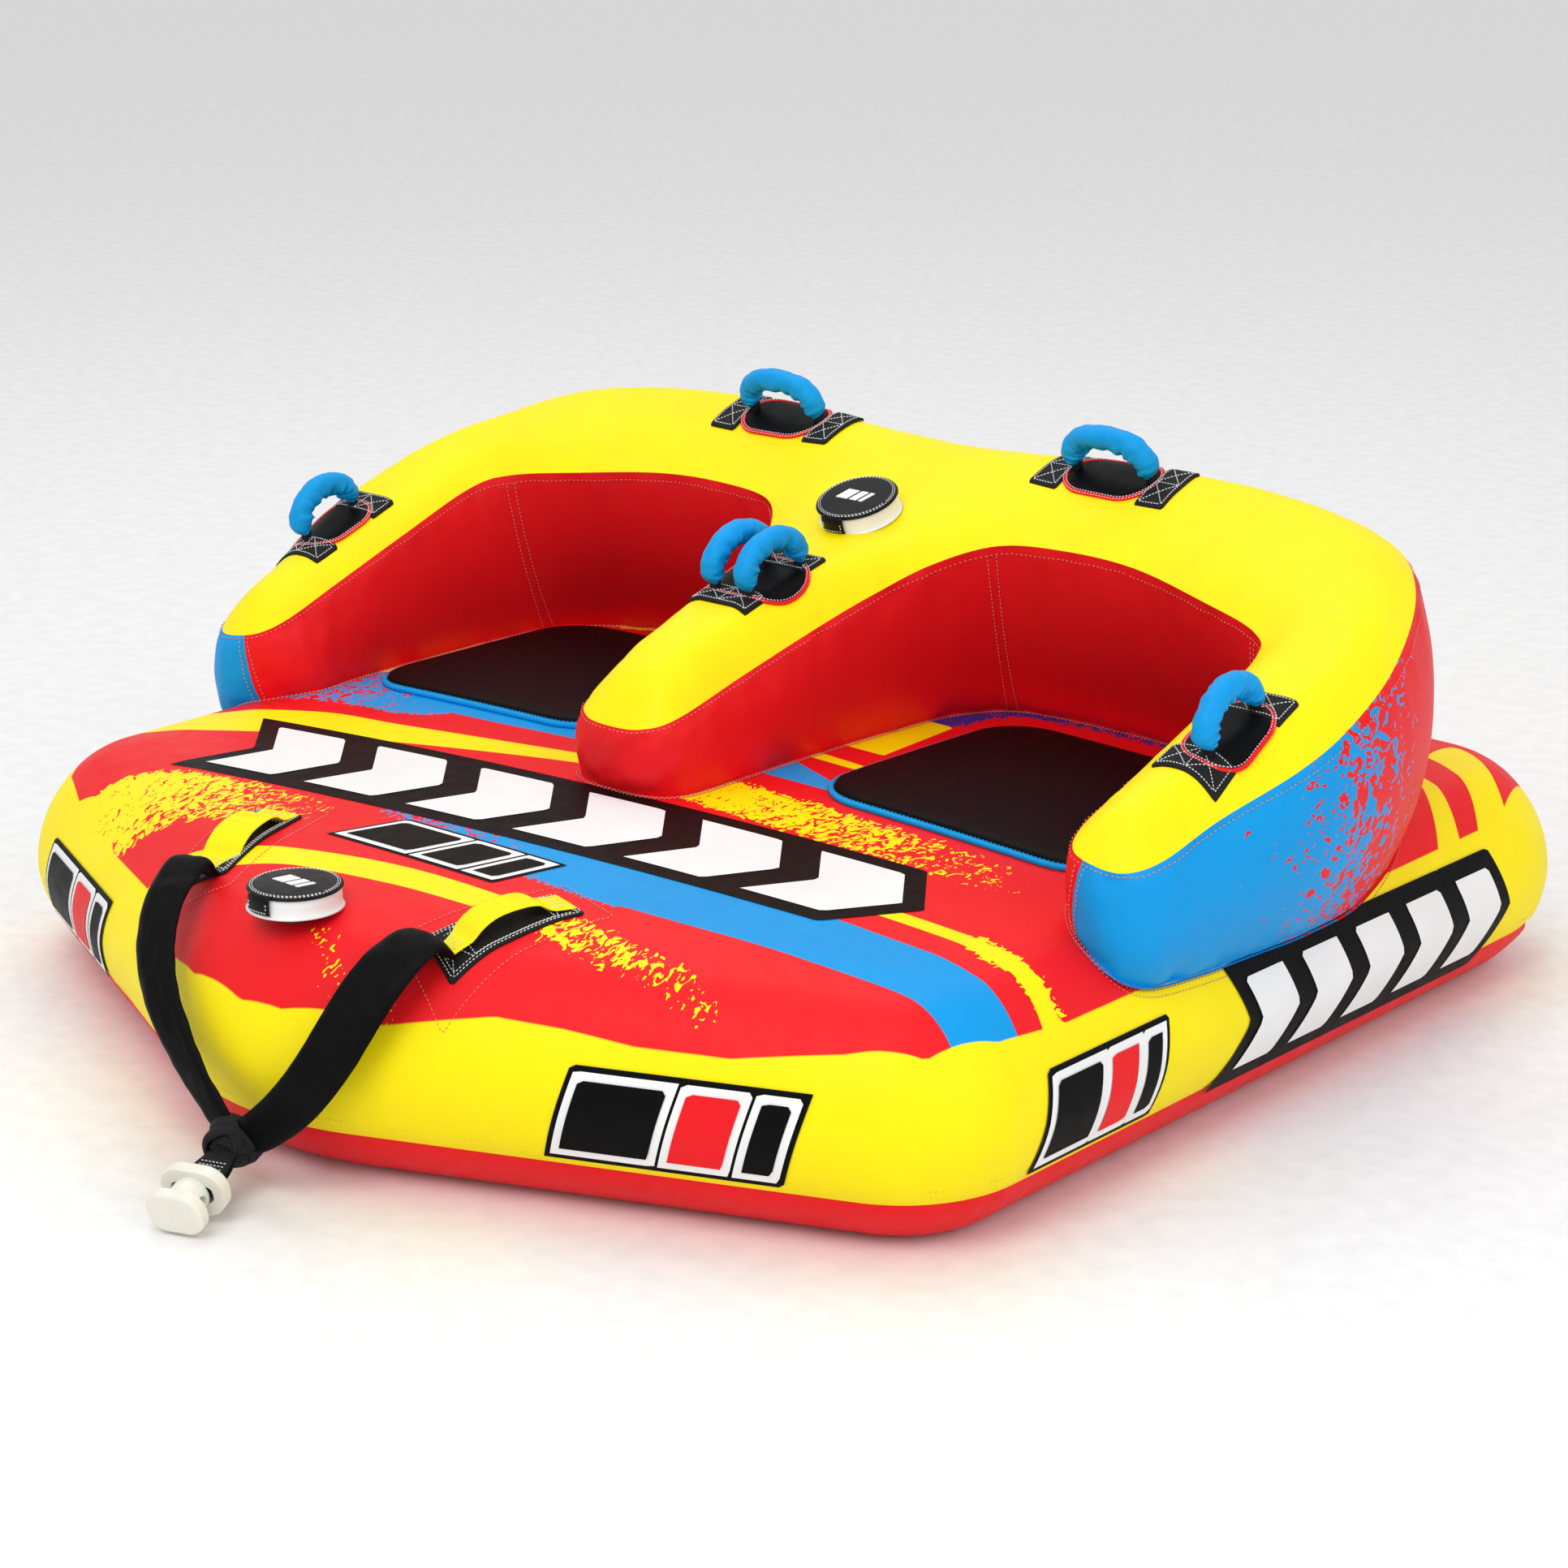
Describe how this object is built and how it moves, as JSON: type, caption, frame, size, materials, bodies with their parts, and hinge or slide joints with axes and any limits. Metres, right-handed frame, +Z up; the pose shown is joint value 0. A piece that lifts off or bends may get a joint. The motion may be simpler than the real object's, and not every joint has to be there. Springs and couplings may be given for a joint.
{
  "type": "towable tube",
  "caption": "Inflatable towable tube for seated riders: pointed-nose base, W-shaped bolster with grips, padded seats, valves and a webbing tow harness with a moulded connector.",
  "frame": {"origin": "middle of the base's flat underside, where the base rests; the tow harness isn't counted", "axes": "+Z up, -Y towards the pointed nose and the tow boat, +X to the right hand seen from the front (the side of the picture's nearer arm)"},
  "size_m": [1.6, 1.832, 0.6921],
  "materials": {
    "deck_print": "printed coated nylon, satin",
    "red_cloth": "coated nylon, satin",
    "yellow_cloth": "coated nylon, satin",
    "outer_wall_print": "printed coated nylon, satin",
    "bladder_vinyl": "soft vinyl film",
    "seat_foam": "black cloth over thin foam",
    "blue_piping": "cloth piping",
    "blue_nylon": "wrinkled nylon over a foam tube",
    "black_webbing": "woven webbing",
    "red_binding": "bias binding tape",
    "yellow_webbing": "woven webbing",
    "white_vinyl": "coated cloth",
    "black_vinyl": "coated cloth",
    "valve_plastic": "moulded plastic",
    "milky_plastic": "translucent nylon, moulded",
    "zipper_tape": "zipper tape and coil",
    "zipper_metal": "painted zinc"
  },
  "bodies": {
    "hull": {"base_bladder": "bladder_vinyl", "base_cover_bottom": "red_cloth", "base_cover_deck": "deck_print", "bolster_backrest_left": "red_cloth", "bolster_backrest_right": "red_cloth", "bolster_bladder": "bladder_vinyl", "bolster_top_panel": "yellow_cloth", "bolster_wall_arm_left": "red_cloth", "bolster_wall_arm_right": "red_cloth", "bolster_wall_centre_arm": "red_cloth", "bolster_wall_outer": "outer_wall_print", "grip_strips_arm_left": "black_webbing", "grip_strips_arm_right": "black_webbing", "grip_strips_centre": "black_webbing", "grip_strips_rear_left": "black_webbing", "grip_strips_rear_right": "black_webbing", "knuckle_pad_arm_left": "seat_foam", "knuckle_pad_arm_right": "seat_foam", "knuckle_pad_centre": "seat_foam", "knuckle_pad_rear_left": "seat_foam", "knuckle_pad_rear_right": "seat_foam", "pad_binding_arms": "red_binding", "pad_binding_centre": "red_binding", "pad_binding_rears": "red_binding", "seat_pad_left": "seat_foam", "seat_pad_right": "seat_foam", "seat_piping_left": "blue_piping", "seat_piping_right": "blue_piping", "tow_knot": "black_webbing", "tow_patch_left": "black_webbing", "tow_patch_right": "black_webbing", "tow_sleeve_left": "black_webbing", "tow_sleeve_right": "black_webbing", "tow_tail": "black_webbing", "tow_webbing_left": "yellow_webbing", "tow_webbing_right": "yellow_webbing", "valve_body_base": "valve_plastic", "valve_body_bolster": "valve_plastic", "valve_cover_base": "white_vinyl", "valve_cover_bolster": "white_vinyl", "zipper": "zipper_tape"},
    "grip_arm_right": {"grip_arm_right": "blue_nylon", "grip_webbing_arm_right": "black_webbing"},
    "grip_rear_right": {"grip_rear_right": "blue_nylon", "grip_webbing_rear_right": "black_webbing"},
    "grip_centre_right": {"grip_centre_right": "blue_nylon", "grip_webbing_centre_right": "black_webbing"},
    "grip_arm_left": {"grip_arm_left": "blue_nylon", "grip_webbing_arm_left": "black_webbing"},
    "grip_rear_left": {"grip_rear_left": "blue_nylon", "grip_webbing_rear_left": "black_webbing"},
    "grip_centre_left": {"grip_centre_left": "blue_nylon", "grip_webbing_centre_left": "black_webbing"},
    "valve_lid_base": {"valve_lid_base": "black_vinyl"},
    "valve_cap_base": {"valve_cap_base": "valve_plastic"},
    "valve_lid_bolster": {"valve_lid_bolster": "black_vinyl"},
    "valve_cap_bolster": {"valve_cap_bolster": "valve_plastic"},
    "tow_connector": {"tow_connector": "milky_plastic"},
    "zipper_slider": {"zipper_slider": "zipper_metal"},
    "zipper_pull": {"zipper_pull": "zipper_metal"}
  },
  "joints": [
    {"name": "grip_arm_right_tilt", "type": "hinge", "parent": "hull", "child": "grip_arm_right", "pos_m": [0.752, 0.00778, 0.4809], "axis": [0, 0.9409, 0.3387], "range_deg": [-45, 45]},
    {"name": "grip_rear_right_tilt", "type": "hinge", "parent": "hull", "child": "grip_rear_right", "pos_m": [0.277, 0.42478, 0.63102], "axis": [-1, 0, 0], "range_deg": [-45, 45]},
    {"name": "grip_centre_right_tilt", "type": "hinge", "parent": "hull", "child": "grip_centre_right", "pos_m": [0.028, 0.05514, 0.52172], "axis": [0, 0.9806, 0.1961], "range_deg": [-12, 45]},
    {"name": "grip_arm_left_tilt", "type": "hinge", "parent": "hull", "child": "grip_arm_left", "pos_m": [-0.752, 0.00778, 0.4809], "axis": [0, 0.9409, 0.3387], "range_deg": [-45, 45]},
    {"name": "grip_rear_left_tilt", "type": "hinge", "parent": "hull", "child": "grip_rear_left", "pos_m": [-0.277, 0.42478, 0.63102], "axis": [-1, 0, 0], "range_deg": [-45, 45]},
    {"name": "grip_centre_left_tilt", "type": "hinge", "parent": "hull", "child": "grip_centre_left", "pos_m": [-0.028, 0.05514, 0.52172], "axis": [0, 0.9806, 0.1961], "range_deg": [-45, 12]},
    {"name": "valve_lid_base_hinge", "type": "hinge", "parent": "hull", "child": "valve_lid_base", "pos_m": [0, -0.6655, 0.3114], "axis": [-1, 0, 0], "range_deg": [0, 110]},
    {"name": "valve_cap_base_turn", "type": "hinge", "parent": "hull", "child": "valve_cap_base", "pos_m": [0, -0.719, 0.298], "axis": [0, 0, 1], "range_deg": [0, 270]},
    {"name": "valve_lid_bolster_hinge", "type": "hinge", "parent": "hull", "child": "valve_lid_bolster", "pos_m": [0, 0.30041, 0.60102], "axis": [-1, 0, 0], "range_deg": [0, 110]},
    {"name": "valve_cap_bolster_turn", "type": "hinge", "parent": "hull", "child": "valve_cap_bolster", "pos_m": [0, 0.25461, 0.57029], "axis": [0, -0.3387, 0.9409], "range_deg": [0, 270]},
    {"name": "tow_connector_swing", "type": "hinge", "parent": "hull", "child": "tow_connector", "pos_m": [0.07299, -0.93861, 0.0392], "axis": [0.9421, 0.3355, 0], "range_deg": [-25, 25]},
    {"name": "zipper_slide", "type": "slide", "parent": "hull", "child": "zipper_slider", "axis": [1, 0, 0], "range_m": [0, 0.672]},
    {"name": "zipper_pull_swing", "type": "hinge", "parent": "zipper_slider", "child": "zipper_pull", "pos_m": [-0.336, 0.832, 0.144], "axis": [1, 0, 0], "range_deg": [0, 170]}
  ]
}
